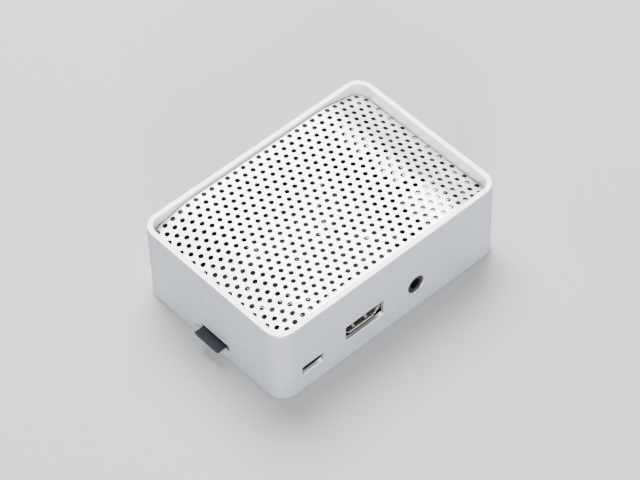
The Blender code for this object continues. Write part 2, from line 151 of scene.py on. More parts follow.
def loft(sections, axis=2, loop=False):
    """A solid through outlines with equal numbers of points, each given as (points, level). Its ends
    are capped, or with loop the last outline joins the first."""
    shape = bmesh.new()
    rings = [[shape.verts.new(set_point(p, level, axis)) for p in points] for points, level in sections]
    pairs = list(zip(rings, rings[1:]))
    if loop:
        pairs.append((rings[-1], rings[0]))
    else:
        shape.faces.new(rings[0])
        shape.faces.new(rings[-1])
    for near, far in pairs:
        for i in range(len(near)):
            shape.faces.new((near[i - 1], near[i], far[i], far[i - 1]))
    bmesh.ops.recalc_face_normals(shape, faces=shape.faces)
    return shape


def rounded(low, high, radius, steps=6, grow=0.0):
    """A rectangle with round corners, from its low and high corners."""
    radius = radius + grow
    points = []
    for turn, (side_x, side_y) in enumerate(((1, 1), (-1, 1), (-1, -1), (1, -1))):
        x = (high[0] + grow if side_x > 0 else low[0] - grow) - side_x * radius
        y = (high[1] + grow if side_y > 0 else low[1] - grow) - side_y * radius
        for i in range(steps + 1):
            angle = (turn + i / steps) * math.pi / 2
            points.append((x + radius * math.cos(angle), y + radius * math.sin(angle)))
    return points


def circle(x, y, radius, sides=32):
    turns = [2 * math.pi * i / sides for i in range(sides)]
    return [(x + radius * math.cos(t), y + radius * math.sin(t)) for t in turns]


def turned(at, profile, axis=2, sides=32, loop=False):
    """A turned solid round a line along one axis, from (radius, level) pairs."""
    return loft([(circle(*at, radius, sides), level) for radius, level in profile], axis, loop)


def hoop(at, inner, outer, low, high, sides=32):
    profile = [(inner, low), (outer, low), (outer, high), (inner, high)]
    return turned(at, profile, sides=sides, loop=True)


def corner_ways(points, i):
    """The directions from a corner of an outline to its two neighbours, and half the angle between."""
    corner = Vector(points[i])
    back = (Vector(points[i - 1]) - corner).normalized()
    on = (Vector(points[(i + 1) % len(points)]) - corner).normalized()
    return corner, back, on, back.angle(on) / 2


def grown(points, size):
    """A convex outline moved outwards, or inwards if size is negative."""
    made = []
    for i in range(len(points)):
        corner, back, on, half = corner_ways(points, i)
        made.append(corner - (back + on).normalized() * size / math.sin(half))
    return made


def eased(points, radius, steps=4):
    """A convex outline with its corners rounded."""
    made = []
    for i in range(len(points)):
        corner, back, on, half = corner_ways(points, i)
        centre = corner + (back + on).normalized() * radius / math.sin(half)
        reach = radius / math.tan(half)
        first = corner + back * reach - centre
        last = corner + on * reach - centre
        for k in range(steps + 1):
            made.append(centre + first.lerp(last, k / steps).normalized() * radius)
    return made


def bevel(shape, edges, size, steps):
    bmesh.ops.bevel(shape, geom=edges, offset=size, offset_type="OFFSET", segments=steps, profile=0.5,
                    affect="EDGES")


def slab(low, high, edge=0.1, steps=2):
    """A box with all its edges rounded."""
    low = Vector(low)
    high = Vector(high)
    shape = bmesh.new()
    bmesh.ops.create_cube(shape, size=1.0)
    bmesh.ops.scale(shape, vec=high - low, verts=shape.verts)
    bmesh.ops.translate(shape, vec=(low + high) / 2, verts=shape.verts)
    if edge > 0:
        bevel(shape, shape.edges[:], edge, steps)
    return shape


def prism(points, low, high, axis=2, corner=0.0, edge=0.0):
    """A flat outline given thickness. corner rounds its corners and edge its two rims."""
    def edges(upright):
        return [e for e in shape.edges
                if (abs(e.verts[0].co[axis] - e.verts[1].co[axis]) > TINY) == upright]

    shape = loft([(points, low), (points, high)], axis)
    if corner > 0:
        bevel(shape, edges(True), corner, 4)
    if edge > 0:
        bevel(shape, edges(False), edge, 2)
    return shape


def tilted(shape, about, degrees, axis):
    """A shape turned about a point."""
    bmesh.ops.rotate(shape, cent=about, matrix=Matrix.Rotation(math.radians(degrees), 3, axis),
                     verts=shape.verts)
    return shape


def as_mesh(shape, name):
    """A shape's mesh. The shape itself is used up."""
    mesh = bpy.data.meshes.new(name)
    shape.to_mesh(mesh)
    shape.free()
    return mesh


def add_object(name, data):
    made = bpy.data.objects.new(name, data)
    bpy.context.scene.collection.objects.link(made)
    return made


def gather(shapes):
    """Several shapes as one, each still a body of its own."""
    whole = bmesh.new()
    for shape in shapes:
        mesh = as_mesh(shape, "part")
        whole.from_mesh(mesh)
        bpy.data.meshes.remove(mesh)
    return whole


def combine(shape, operation, tools):
    """A shape after a Boolean with other closed shapes that stay clear of each other."""
    pair = [add_object("operand", as_mesh(body, "operand")) for body in (shape, gather(tools))]
    step = pair[0].modifiers.new("step", "BOOLEAN")
    step.operation = operation
    step.solver = "EXACT"
    step.object = pair[1]
    made = bmesh.new()
    made.from_object(pair[0], bpy.context.evaluated_depsgraph_get())
    for used in pair:
        mesh = used.data
        bpy.data.objects.remove(used)
        bpy.data.meshes.remove(mesh)
    return made


def cut(shape, *tools):
    return combine(shape, "DIFFERENCE", tools)


def join(shape, *tools):
    return combine(shape, "UNION", tools)


def piece(name, shape, finish, *nodes, body="case"):
    """A finished piece, of a shape or a list of them. It rides on a body and stands for CAD nodes."""
    if isinstance(shape, list):
        shape = gather(shape)
    bmesh.ops.scale(shape, vec=(MM, MM, MM), verts=shape.verts)
    mesh = as_mesh(shape, name)
    mesh.materials.append(finish)
    mesh.shade_smooth()
    mesh.set_sharp_from_angle(angle=math.radians(CREASE))
    made = add_object(name, mesh)
    weigh = made.modifiers.new("weigh", "WEIGHTED_NORMAL")
    weigh.keep_sharp = True
    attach(made, body)
    if nodes:
        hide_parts(*nodes)
    return made


# ---- materials ----


def surface(name, colour, roughness, metallic=0.0, mottle=0.05, patch=3.0, speck=0.05, grain=0.25,
            depth=0.006, stretch=(1.0, 1.0, 1.0), coat=0.0, uneven=0.08, shine=0.5):
    """A procedural finish. Its colour drifts by mottle over patches and by speck over grains. Its gloss
    varies by uneven, and its surface rises and falls by depth over the grains. patch, grain and depth
    are in millimetres, and stretch draws the grain out along an axis."""
    made = bpy.data.materials.new(name)
    made.use_nodes = True
    made.diffuse_color = (*colour, 1.0)
    nodes = made.node_tree.nodes
    link = made.node_tree.links.new
    shader = nodes["Principled BSDF"]

    def fill(node, *values):
        for socket, value in values:
            node.inputs[socket].default_value = value

    def spread(source, least, most):
        """A noise's middle half, spread from least to most."""
        scale = nodes.new("ShaderNodeMapRange")
        fill(scale, ("From Min", 0.25), ("From Max", 0.75), ("To Min", least), ("To Max", most))
        link(source, scale.inputs["Value"])
        return scale.outputs["Result"]

    place = nodes.new("ShaderNodeTexCoord")
    mapping = nodes.new("ShaderNodeMapping")
    fill(mapping, ("Scale", [1 / s for s in stretch]))
    link(place.outputs["Object"], mapping.inputs["Vector"])
    tinted = None
    for size, detail, amount in ((patch, 3.0, mottle), (grain, 4.0, speck)):
        noise = nodes.new("ShaderNodeTexNoise")
        fill(noise, ("Scale", 1 / (size * MM)), ("Detail", detail), ("Roughness", 0.6))
        link(mapping.outputs["Vector"], noise.inputs["Vector"])
        height = noise.outputs["Fac"]
        tint = nodes.new("ShaderNodeVectorMath")
        tint.operation = "SCALE"
        fill(tint, (0, colour))
        if tinted is not None:
            link(tinted, tint.inputs[0])
        link(spread(height, 1 - amount, 1 + amount), tint.inputs["Scale"])
        tinted = tint.outputs["Vector"]
    link(tinted, shader.inputs["Base Color"])
    gloss = spread(height, max(roughness - uneven, 0.02), min(roughness + uneven, 1.0))
    link(gloss, shader.inputs["Roughness"])
    bump = nodes.new("ShaderNodeBump")
    fill(bump, ("Strength", 1.0), ("Distance", depth * MM))
    link(height, bump.inputs["Height"])
    link(bump.outputs["Normal"], shader.inputs["Normal"])
    fill(shader, ("Metallic", metallic), ("Coat Weight", coat), ("Specular IOR Level", shine))
    return made


ALUMINIUM = surface("blasted_aluminium", (0.52, 0.55, 0.63), 0.5, 0.3, mottle=0.03,
        patch=14.0, speck=0.26, grain=0.4, depth=0.05, stretch=(2.0, 2.0, 1.0))
# Machined rim; on the inner wall above the shelves its pale colour is also painted light, for light bounced
# off the lid.
MACHINED_PAINTED_LIGHT = surface("machined_aluminium_painted_light", (0.89, 0.90, 0.91), 0.5, 0.35, mottle=0.02,
        patch=9.0, speck=0.03, stretch=(6.0, 6.0, 1.0))
MILLED = surface("milled_aluminium", (0.86, 0.86, 0.86), 0.36, 0.85, mottle=0.03,
        speck=0.04, depth=0.002)
SHEET_METAL = surface("lid_aluminium", (0.94, 0.94, 0.93), 0.42, 0.65, mottle=0.03,
        patch=18.0, speck=0.03, grain=0.3, depth=0.008)
# Painted shade: a dark aluminium for the inner wall below the shelves and the lid's underside, which lie in
# shade.
PAINTED_SHADE_METAL = surface("painted_shade_aluminium", (0.26, 0.255, 0.245), 0.5, 0.6, patch=12.0, grain=0.3,
        depth=0.008)
# Painted shade: near black for the lid's hole walls and cut edges, which lie in shade.
PAINTED_SHADE_EDGES = surface("painted_shade_hole_walls", (0.07, 0.065, 0.06), 0.55, 0.3, patch=1.5, speck=0.1,
        grain=0.15)
TINNED = surface("tinned_steel", (0.84, 0.83, 0.80), 0.24, 1.0, grain=0.3, depth=0.004,
        stretch=(4.0, 1.0, 1.0))
STEEL = surface("black_oxide_steel", (0.10, 0.10, 0.105), 0.38, 0.9, mottle=0.1, patch=1.5,
        speck=0.1, grain=0.15)
# Plated steel, painted darker than plated steel is, as shade: the cans lie under the lid.
PLATED_PAINTED_SHADE = surface("plated_steel", (0.27, 0.24, 0.195), 0.1, 1.0, patch=5.0, grain=0.35,
        depth=0.003, stretch=(5.0, 1.0, 1.0), uneven=0.04)
BLACK = surface("black_nylon", (0.018, 0.018, 0.02), 0.48, mottle=0.12, speck=0.12,
        grain=0.2, depth=0.012)
CREAM = surface("cream_nylon", (0.62, 0.56, 0.45), 0.5, depth=0.008)
GOLD = surface("gold_plating", (0.86, 0.62, 0.24), 0.24, 1.0, mottle=0.06, patch=1.5,
        speck=0.06, grain=0.12, depth=0.003)
MASK = surface("solder_mask", (0.016, 0.042, 0.019), 0.42, mottle=0.12, patch=9.0,
        speck=0.08, grain=0.5, depth=0.008, shine=0.25)
TRACE = surface("masked_copper", (0.009, 0.065, 0.028), 0.4, mottle=0.08, patch=4.0,
        speck=0.06, grain=0.4, shine=0.12)
SOLDER = surface("tinned_pads", (0.78, 0.78, 0.77), 0.3, 1.0, mottle=0.08, patch=0.8,
        speck=0.1, depth=0.02)
EPOXY = surface("moulded_epoxy", (0.022, 0.022, 0.024), 0.55, mottle=0.1, patch=2.5,
        speck=0.2, grain=0.16, depth=0.01, shine=0.2)
FERRITE = surface("ferrite", (0.085, 0.085, 0.09), 0.62, mottle=0.12, patch=1.5,
        speck=0.15, grain=0.14, depth=0.015)
CERAMIC = surface("ceramic", (0.36, 0.23, 0.10), 0.5, mottle=0.1, patch=1.5, speck=0.08,
        grain=0.18)
SLATE = surface("card_polycarbonate", (0.020, 0.024, 0.032), 0.42, mottle=0.08, speck=0.12,
        grain=0.16, shine=0.3)
GLOSSY = surface("glossy_nylon", (0.008, 0.008, 0.009), 0.16, mottle=0.1, speck=0.1,
        depth=0.002, uneven=0.03, shine=0.35)
INK = surface("white_ink", (0.72, 0.73, 0.70), 0.5, patch=1.5, speck=0.08, grain=0.12,
        depth=0.003)
LENS = surface("led_lens", (0.80, 0.78, 0.62), 0.22, mottle=0.04, patch=0.8, speck=0.03,
        grain=0.2, depth=0.003, coat=0.6)


# ---- the stage ----


def make_camera():
    """Looks along the line from EYE to AIM, with a small roll."""
    forward = (Vector(AIM) - Vector(EYE)).normalized()
    level = forward.cross(Vector((0, 0, 1))).normalized()
    upright = level.cross(forward)
    roll = math.radians(ROLL)
    right = level * math.cos(roll) + upright * math.sin(roll)
    up = right.cross(forward)
    data = bpy.data.cameras.new("camera")
    data.lens = FOCAL_LENGTH
    data.clip_start = 0.01
    camera = add_object("camera", data)
    camera.matrix_world = (Matrix.Translation(Vector(EYE) * MM)
                           @ Matrix((right, up, -forward)).transposed().to_4x4())
    bpy.context.scene.camera = camera


def make_light(name, place, size, power):
    """A soft panel of light that faces the object. place and size are in metres."""
    data = bpy.data.lights.new(name, "AREA")
    data.size = size
    data.energy = power
    made = add_object(name, data)
    made.location = place
    made.rotation_euler = (-Vector(place)).to_track_quat("-Z", "Y").to_euler()


def make_stage():
    shape = bmesh.new()
    bmesh.ops.create_grid(shape, x_segments=2, y_segments=2, size=2000.0)
    bmesh.ops.translate(shape, vec=(0, 0, -0.02), verts=shape.verts)
    bmesh.ops.scale(shape, vec=(MM, MM, MM), verts=shape.verts)
    mesh = as_mesh(shape, "floor")
    mesh.materials.append(surface("floor_paint", (0.47, 0.47, 0.47), 0.6, mottle=0.01, patch=90.0,
                                  speck=0.01, grain=2.0, depth=0.01))
    floor = add_object("floor", mesh)
    world = bpy.data.worlds.new("studio")
    world.use_nodes = True
    sky = world.node_tree.nodes["Background"]
    sky.inputs["Color"].default_value = (0.93, 0.96, 1.0, 1.0)
    sky.inputs["Strength"].default_value = 0.12
    bpy.context.scene.world = world
    make_light("overhead", (0.28, 0.45, 0.85), 0.75, 34.0)
    make_light("near_fill", (-0.68, -0.80, 0.40), 0.26, 18.0)
    make_light("front_fill", (0.60, -1.0, 0.50), 0.7, 4.5)
    make_light("left_fill", (-0.95, 0.55, 0.60), 0.6, 2.4)


# ---- the case ----


def ring_sections(low, high):
    """Outlines round the ring's wall, from its outer bottom edge over the rim and down inside."""
    def outline(inset, z):
        return rounded(low, high, CASE_CORNER, 14, -inset), z

    quarter = [i / 5 * math.pi / 2 for i in range(6)]
    inner = RIM_EDGE * 0.7
    sections = [outline(BOTTOM_EDGE * (1 - math.sin(a)), BOTTOM_EDGE * (1 - math.cos(a))) for a in quarter]
    sections += [outline(RIM_EDGE * (1 - math.cos(a)), high.z - RIM_EDGE * (1 - math.sin(a)))
                 for a in quarter]
    sections += [outline(WALL - inner * (1 - math.sin(a)), high.z - inner * (1 - math.cos(a)))
                 for a in quarter]
    sections += [outline(WALL, SHELF[1] + 0.2), outline(WALL, 0.0)]
    return sections


def window(low, high, near, far, axis, corner=EASE):
    """A cutter for a window in a wall. It flares at near, the wall's outer face."""
    way = math.copysign(1.0, far - near)
    sections = [(FLARE + PAST, near - PAST * way), (FLARE, near), (0.0, near + FLARE * way), (0.0, far)]
    return loft([(rounded(low, high, corner, 4, grow), level) for grow, level in sections], axis)


def make_windows(low, high):
    """Cutters for the sockets in the front and right walls and for the card in the left one."""
    near = low.y
    far = low.y + WALL + PAST
    tools = []
    for node, (width, floor, top) in (("power_socket_shell", POWER_WINDOW), ("hdmi_shell", HDMI_WINDOW)):
        x = middle(node).x
        tools.append(window((x - width / 2, floor), (x + width / 2, top), near, far, 1))
    jack = middle("audio_contact")
    tools.append(turned(jack.xz, [(AUDIO_WINDOW + FLARE + PAST, near - PAST), (AUDIO_WINDOW + FLARE, near),
                                  (AUDIO_WINDOW, near + FLARE), (AUDIO_WINDOW, far)], 1, 48))
    for node in ("ethernet_shell", "usb_shell_1", "usb_shell_2"):
        first, last = span(node)
        tools.append(window((first.y - EASE, first.z - 0.5), (last.y + EASE, last.z + EASE),
                            high.x, high.x - WALL - PAST, 0))
    tools.append(window(*CARD_WINDOW, low.x, low.x + WALL + PAST, 0))
    return tools


def wall_depth(at, high):
    """How far inside the case's outline a point lies."""
    across = abs(at.x) - high.x + CASE_CORNER
    along = abs(at.y) - high.y + CASE_CORNER
    return CASE_CORNER - math.hypot(max(across, 0.0), max(along, 0.0)) - min(max(across, along), 0.0)


def make_case():
    """The ring of four walls with its shelves, lugs and windows."""
    low, high = span("case_frame")
    inner_x = high.x - WALL
    inner_y = high.y - WALL
    ring = loft(ring_sections(low, high), loop=True)
    added = []
    reach_x = inner_x + WALL / 2
    reach_y = inner_y + WALL / 2
    corner = (reach_x - 0.8 * WALL, reach_y - 0.8 * WALL)
    shelf = [(inner_x - SHELF_SIDE, reach_y), corner, (reach_x, inner_y - SHELF_SIDE),
             (inner_x - SHELF_NOSE, inner_y - SHELF_SIDE), (inner_x - SHELF_SIDE, inner_y - SHELF_NOSE)]
    for side_x in (-1, 1):
        for side_y in (-1, 1):
            added.append(prism([(side_x * x, side_y * y) for x, y in shelf], *SHELF, edge=0.15))
    holes = []
    for i in range(1, 5):
        at = middle(f"bottom_screw_{i}")
        ends = sorted((math.copysign(reach_y, at.y), math.copysign(inner_y - LUG_REACH, at.y)))
        added.append(slab((at.x - LUG_HALF, ends[0], LUG[0]), (at.x + LUG_HALF, ends[1], LUG[1]), 0.25))
        holes.append(turned(at.xy, [(SCREW_HOLE, 0), (SCREW_HOLE, LUG[1] + PAST)]))
    relief = slab((span("power_socket_shell")[0].x - 1.5, low.y + WALL - RELIEF, LUG[1] + 0.3),
                  (span("hdmi_shell")[1].x + 1.5, low.y + WALL + PAST, HDMI_WINDOW[2] + 1.0), 0.1)
    ring = cut(cut(join(ring, *added), relief), *holes, *make_windows(low, high))
    made = piece("case_ring", ring, ALUMINIUM, "case_frame")
    outside, machined_painted_light, milled, painted_shade = range(4)
    for finish in (MACHINED_PAINTED_LIGHT, MILLED, PAINTED_SHADE_METAL):
        made.data.materials.append(finish)
    rim = high.z - RIM_EDGE * 1.1
    for face in made.data.polygons:
        corners = [made.data.vertices[v].co / MM for v in face.vertices]
        depths = [wall_depth(v, high) for v in corners]
        lowest = min(v.z for v in corners)
        inside = min(depths) > WALL - 0.05
        face.material_index = outside
        if lowest > rim and max(depths) < RIM_EDGE * 1.1:
            face.material_index = milled
        # Rim finish, and painted light on the inner wall above the shelves.
        elif lowest > rim or inside and lowest > SHELF[1]:
            face.material_index = machined_painted_light
        # Painted shade on the inner wall below the shelves.
        elif inside:
            face.material_index = painted_shade
        elif max(depths) > 0.02 and max(v.z for v in corners) > BOTTOM_EDGE:
            face.material_index = milled


def hexagon_reach(angle):
    """How far a lattice cell's six-sided border lies from its centre at an angle."""
    side = math.radians(60)
    return PITCH / 2 / math.cos((angle + side / 2) % side - side / 2)


def lid_point(s, depth, end_x):
    """The x and z of a point of the bent strip, s along its top from the middle and depth below it,
    with z measured from the flat part's top."""
    side = -1 if s < 0 else 1
    slope = math.atan2(LID_DROP[side], end_x - BEND_AT)
    arc = BEND_RADIUS * slope
    along = abs(s) - (BEND_AT - arc / 2)
    turn = min(max(along / BEND_RADIUS, 0.0), slope)
    x = abs(s) if along <= 0 else BEND_AT - arc / 2 + BEND_RADIUS * math.sin(turn)
    z = -BEND_RADIUS * (1 - math.cos(turn))
    rest = max(along - arc, 0.0)
    x += rest * math.cos(slope)
    z -= rest * math.sin(slope)
    return side * (x - depth * math.sin(turn)), z - depth * math.cos(turn)


def lid_reach(side, end_x):
    """The length along the strip, from its middle, that brings its end to end_x."""
    slope = math.atan2(LID_DROP[side], end_x - BEND_AT)
    return BEND_AT + (end_x - BEND_AT) / math.cos(slope) - BEND_RADIUS * (2 * math.tan(slope / 2) - slope)


def lattice_point(column, row):
    return Vector((LATTICE_AT[0] + (column + row % 2 / 2) * PITCH, LATTICE_AT[1] + row * ROW, 0))


def make_lid():
    """The perforated sheet: flat cells round each hole, cut to the lid's outline, bent, thickened."""
    low, high = span("top_grille")
    shape = bmesh.new()
    ends = [side * lid_reach(side, high.x) for side in (-1, 1)]
    angles = [2 * math.pi * i / HOLE_SIDES for i in range(HOLE_SIDES)]
    rows = math.ceil(high.y / ROW) + 1
    columns = math.ceil(ends[1] / PITCH) + 1
    for row in range(-rows, rows + 1):
        for column in range(-columns, columns + 1):
            centre = lattice_point(column, row)
            rings = []
            for reach in (hexagon_reach, lambda a: HOLE + LIP, lambda a: HOLE):
                rings.append([shape.verts.new(centre + Vector((math.cos(a), math.sin(a), 0)) * reach(a))
                              for a in angles])
            for outer, inner in zip(rings, rings[1:]):
                for i in range(HOLE_SIDES):
                    shape.faces.new((outer[i - 1], outer[i], inner[i], inner[i - 1]))
    bmesh.ops.remove_doubles(shape, verts=shape.verts, dist=1e-3)
    edge = rounded((ends[0], low.y + LID_GAP), (ends[1], high.y - LID_GAP), CASE_CORNER - WALL, 8)
    for i in range(len(edge)):
        here = Vector((*edge[i - 1], 0))
        way = Vector((*edge[i], 0)) - here
        if way.length > TINY:
            bmesh.ops.bisect_plane(shape, geom=shape.verts[:] + shape.edges[:] + shape.faces[:], dist=1e-5,
                                   plane_co=here, plane_no=(way.y, -way.x, 0), clear_outer=True)
    bmesh.ops.recalc_face_normals(shape, faces=shape.faces)
    depth = {}
    for v in shape.verts:
        row = round((v.co.y - LATTICE_AT[1]) / ROW)
        column = round((v.co.x - LATTICE_AT[0]) / PITCH - row % 2 / 2)
        at_hole = (v.co - lattice_point(column, row)).length < HOLE + LIP / 4
        depth[v] = LIP_DROP if at_hole else 0.0
    copied = bmesh.ops.extrude_face_region(shape, geom=shape.faces[:], use_keep_orig=True)
    under = {g for g in copied["geom"] if isinstance(g, bmesh.types.BMVert)}
    depth.update((v, SHEET) for v in under)
    for v in shape.verts:
        x, z = lid_point(v.co.x, depth[v], high.x)
        v.co = (x, v.co.y, high.z + z)
    bmesh.ops.recalc_face_normals(shape, faces=shape.faces)
    upper, lower, walls = range(3)
    for face in shape.faces:
        count = len(under.intersection(face.verts))
        face.material_index = upper if not count else lower if count == len(face.verts) else walls
    lid = piece("perforated_lid", shape, SHEET_METAL, "top_grille", body="lid")
    # Painted shade on the lid's underside.
    lid.data.materials.append(PAINTED_SHADE_METAL)
    # Painted shade on the hole walls and cut edges.
    lid.data.materials.append(PAINTED_SHADE_EDGES)


def make_base_plate():
    """The plate below, with the board's pillars and countersunk holes."""
    low, high = span("bottom_plate")
    corner = CASE_CORNER - WALL
    outlines = [(-0.3, 0.0), (-0.09, 0.09), (0.0, 0.3), (0.0, PLATE - 0.15), (-0.15, PLATE)]
    plate = loft([(rounded(low, high, corner, 10, grow), z) for grow, z in outlines])
    pillars = []
    holes = []
    for i in range(1, 5):
        at = middle(f"board_screw_{i}")
        foot = PILLAR + 0.4
        pillars.append(turned(at.xy, [(foot, PLATE / 2), (foot, PLATE), (PILLAR, PLATE + 0.4),
                                      (PILLAR, high.z - 0.2), (PILLAR - 0.2, high.z)]))
        holes.append(turned(at.xy, [(SCREW_HOLE, PLATE), (SCREW_HOLE, high.z - 0.2),
                                    (SCREW_HOLE + 1.2, high.z + PAST)]))
        at = middle(f"bottom_screw_{i}")
        holes.append(turned(at.xy, [(HEAD + 0.3 + PAST, -PAST), (HEAD + 0.3, 0.0), (SCREW_HOLE, 1.2),
                                    (SCREW_HOLE, PLATE + PAST)]))
    piece("base_plate", cut(join(plate, *pillars), *holes), ALUMINIUM, "bottom_plate")


def thread(low, high):
    """The profile of a screw's shank from low to high, as ridges."""
    turns = int((high - low) / THREAD_PITCH)
    profile = []
    for i in range(turns):
        z = low + (high - low) * i / turns
        profile += [(SHANK - 0.16, z), (SHANK - 0.02, z + 0.2)]
    return [*profile, (SHANK - 0.16, high), (SHANK - 0.4, high)]


def make_screws():
    for i in range(1, 5):
        low, high, at = measured(f"bottom_screw_{i}")
        head = [(HEAD - 0.1, low.z), (HEAD, low.z + 0.06), (HEAD, low.z + 0.16), (SHANK, low.z + 1.15)]
        drive = [(0.95, low.z - PAST), (0.95, low.z), (0.75, low.z + 0.15), (0.75, 0.9)]
        screw = cut(turned(at.xy, head + thread(1.25, high.z)), turned(at.xy, drive, sides=6))
        piece(f"plate_screw_{i}", screw, STEEL, f"bottom_screw_{i}")
        low, high, at = measured(f"board_screw_{i}")
        seat = high.z - 1.6
        head = [(r, -z) for r, z in thread(-seat, -low.z)][::-1]
        head += [(HEAD - 0.05, seat), (HEAD, seat + 0.05)]
        head += [(HEAD - 1.1 * (1 - math.cos(a)), high.z - 0.9 * (1 - math.sin(a)))
                 for a in [k / 6 * math.pi / 2 for k in range(7)]]
        drive = [(0.85, high.z - 0.8), (0.85, high.z - 0.12), (1.0, high.z + 0.1), (1.0, high.z + PAST)]
        screw = cut(turned(at.xy, head), turned(at.xy, drive, sides=6))
        piece(f"pan_screw_{i}", screw, STEEL, f"board_screw_{i}")


# ---- the board ----


def ribbon(points, width, low, high):
    """A flat strip along a bent line."""
    line = [Vector(point) for point in points]
    ways = [(b - a).normalized() for a, b in zip(line, line[1:])]
    left = []
    right = []
    for here, back, on in zip(line, [ways[0], *ways], [*ways, ways[-1]]):
        mean = (back + on).normalized()
        across = Vector((-mean.y, mean.x)) * (width / 2 / max(mean.dot(back), 0.3))
        left.append(here + across)
        right.append(here - across)
    return prism(left + right[::-1], low, high)


def route(start, end):
    """A board trace's line: straight, then across at 45 degrees, then straight."""
    way = end - start
    main = 0 if abs(way.x) >= abs(way.y) else 1
    other = 1 - main
    first = start.copy()
    first[main] += math.copysign((abs(way[main]) - abs(way[other])) / 2, way[main])
    second = first.copy()
    second[main] += math.copysign(abs(way[other]), way[main])
    second[other] = end[other]
    kept = [start]
    for point in (first, second, end):
        if (point - kept[-1]).length > 0.05:
            kept.append(point)
    return kept


# Groups of traces, as a first start, the last start, the first end, the last end and how many. They
# are in millimetres from the board's front left corner.
BUSES = (
    ((20.0, 42.6), (31.5, 42.6), (13.0, 48.8), (33.0, 48.8), 12),
    ((33.6, 29.0), (33.6, 35.0), (50.2, 27.6), (50.2, 34.2), 9),
    ((27.0, 24.2), (32.0, 24.2), (27.5, 14.0), (36.5, 14.0), 8),
    ((61.0, 28.0), (61.0, 34.0), (69.0, 25.5), (69.0, 33.0), 6),
    ((58.0, 25.4), (54.0, 25.4), (62.5, 19.6), (58.5, 19.6), 5),
    ((18.0, 28.0), (18.0, 36.0), (6.2, 24.0), (6.2, 34.0), 8),
    ((34.4, 22.0), (34.4, 26.0), (42.6, 14.0), (42.6, 19.0), 5),
    ((60.5, 36.5), (57.0, 36.5), (66.5, 47.5), (62.6, 47.5), 4),
    ((8.0, 9.4), (12.5, 9.4), (8.0, 13.2), (12.5, 13.2), 3),
    ((40.0, 42.0), (52.0, 42.0), (40.0, 48.8), (55.0, 48.8), 8),
)

# Rows of small chip parts: the first and the last centre, how many, whether they stand along Y, and
# whether they are resistors.
CHIP_ROWS = (
    ((19.8, 41.0), (31.8, 41.0), 6, True, False),
    ((19.8, 22.9), (25.4, 22.9), 4, True, False),
    ((16.4, 26.4), (16.4, 38.0), 6, False, False),
    ((35.4, 27.6), (35.4, 36.2), 5, False, True),
    ((26.2, 12.4), (38.0, 12.4), 8, True, True),
    ((51.6, 37.5), (59.6, 37.5), 5, True, False),
    ((61.6, 26.6), (61.6, 34.8), 5, False, True),
    ((8.6, 6.4), (13.2, 6.4), 3, True, True),
    ((48.4, 3.6), (48.4, 11.6), 5, False, True),
    ((10.5, 47.4), (55.5, 47.4), 16, True, False),
    ((58.2, 9.0), (58.2, 13.8), 3, False, False),
    ((20.8, 14.0), (20.8, 20.0), 4, False, True),
)


def spaced(centre, count, pitch):
    return [centre + (i - (count - 1) / 2) * pitch for i in range(count)]


def between(first, last, count):
    return [Vector(first).lerp(Vector(last), i / max(count - 1, 1)) for i in range(count)]


def make_board():
    """The laminate, with its traces, pads, vias and printed outlines."""
    low, high = span("circuit_board")
    outlines = [(-0.12, low.z), (0.0, low.z + 0.12), (0.0, high.z - 0.12), (-0.12, high.z)]
    sheet = loft([(rounded(low, high, BOARD_CORNER, 8, grow), z) for grow, z in outlines])
    screws = [middle(f"board_screw_{i}") for i in range(1, 5)]
    holes = [turned(at.xy, [(BOARD_HOLE, low.z - PAST), (BOARD_HOLE, high.z + PAST)]) for at in screws]
    piece("laminate", cut(sheet, *holes), MASK, "circuit_board")
    top = high.z
    traces = []
    for first, last, first_end, last_end, count in BUSES:
        for start, end in zip(between(first, last, count), between(first_end, last_end, count)):
            line = [low.xy + point for point in route(start, end)]
            traces.append(ribbon(line, TRACE_WIDTH, top - SINK, top + TRACE_RISE))
    rng = random.Random(VIA_SEED)
    taken = [span(n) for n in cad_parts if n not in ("case_frame", "top_grille", "circuit_board")]
    pads = []
    while len(pads) < VIAS:
        x = rng.uniform(low.x + 1.5, high.x - 1.5)
        y = rng.uniform(low.y + 1.5, high.y - 1.5)
        if all(x < a.x - 1 or x > b.x + 1 or y < a.y - 1 or y > b.y + 1 for a, b in taken if b.z > top):
            pads.append(hoop((x, y), 0.15, 0.3, top - SINK, top + 0.03, 10))
    piece("traces", traces, TRACE)
    pads += [hoop(at.xy, 1.55, 3.05, top - SINK, top + 0.04) for at in screws]
    piece("vias", pads, SOLDER)
    lines = []
    for node in ("processor", "network_chip", "gpio_header", "camera_connector", "display_connector",
                 "power_inductor_1", "power_inductor_2", "power_regulator", "usb_power_switch", "input_fuse"):
        first, last = span(node)
        box = rounded(first, last, 0.01, 1, 0.5)[::2]
        lines += [ribbon(ends, 0.15, top - SINK, top + 0.02) for ends in zip(box, box[1:] + box[:1])]
    piece("printed_outlines", lines, INK)


def make_chip_parts():
    """Small resistors and capacitors in rows, each with two tinned ends."""
    low, high = span("circuit_board")
    bodies = {True: [], False: []}
    ends = []
    thin = 0.03  # the tinned ends' thickness
    for first, last, count, upright, resistor in CHIP_ROWS:
        for at in between(first, last, count):
            x = low.x + at.x
            y = low.y + at.y
            top = high.z + (0.35 if resistor else 0.5)
            along = 1 if upright else 0
            half_x, half_y = (0.27, 0.5) if upright else (0.5, 0.27)
            bodies[resistor].append(slab((x - half_x + thin, y - half_y + thin, high.z + 0.04),
                                         (x + half_x - thin, y + half_y - thin, top), 0.04, 1))
            for side in (-1, 1):
                near = [x - half_x, y - half_y]
                far = [x + half_x, y + half_y]
                if side < 0:
                    far[along] = near[along] + 0.28
                else:
                    near[along] = far[along] - 0.28
                ends.append(slab((*near, high.z + SINK), (*far, top + thin), 0.05, 1))
    piece("chip_capacitors", bodies[False], CERAMIC)
    piece("chip_resistors", bodies[True], EPOXY)
    piece("chip_part_ends", ends, SOLDER)


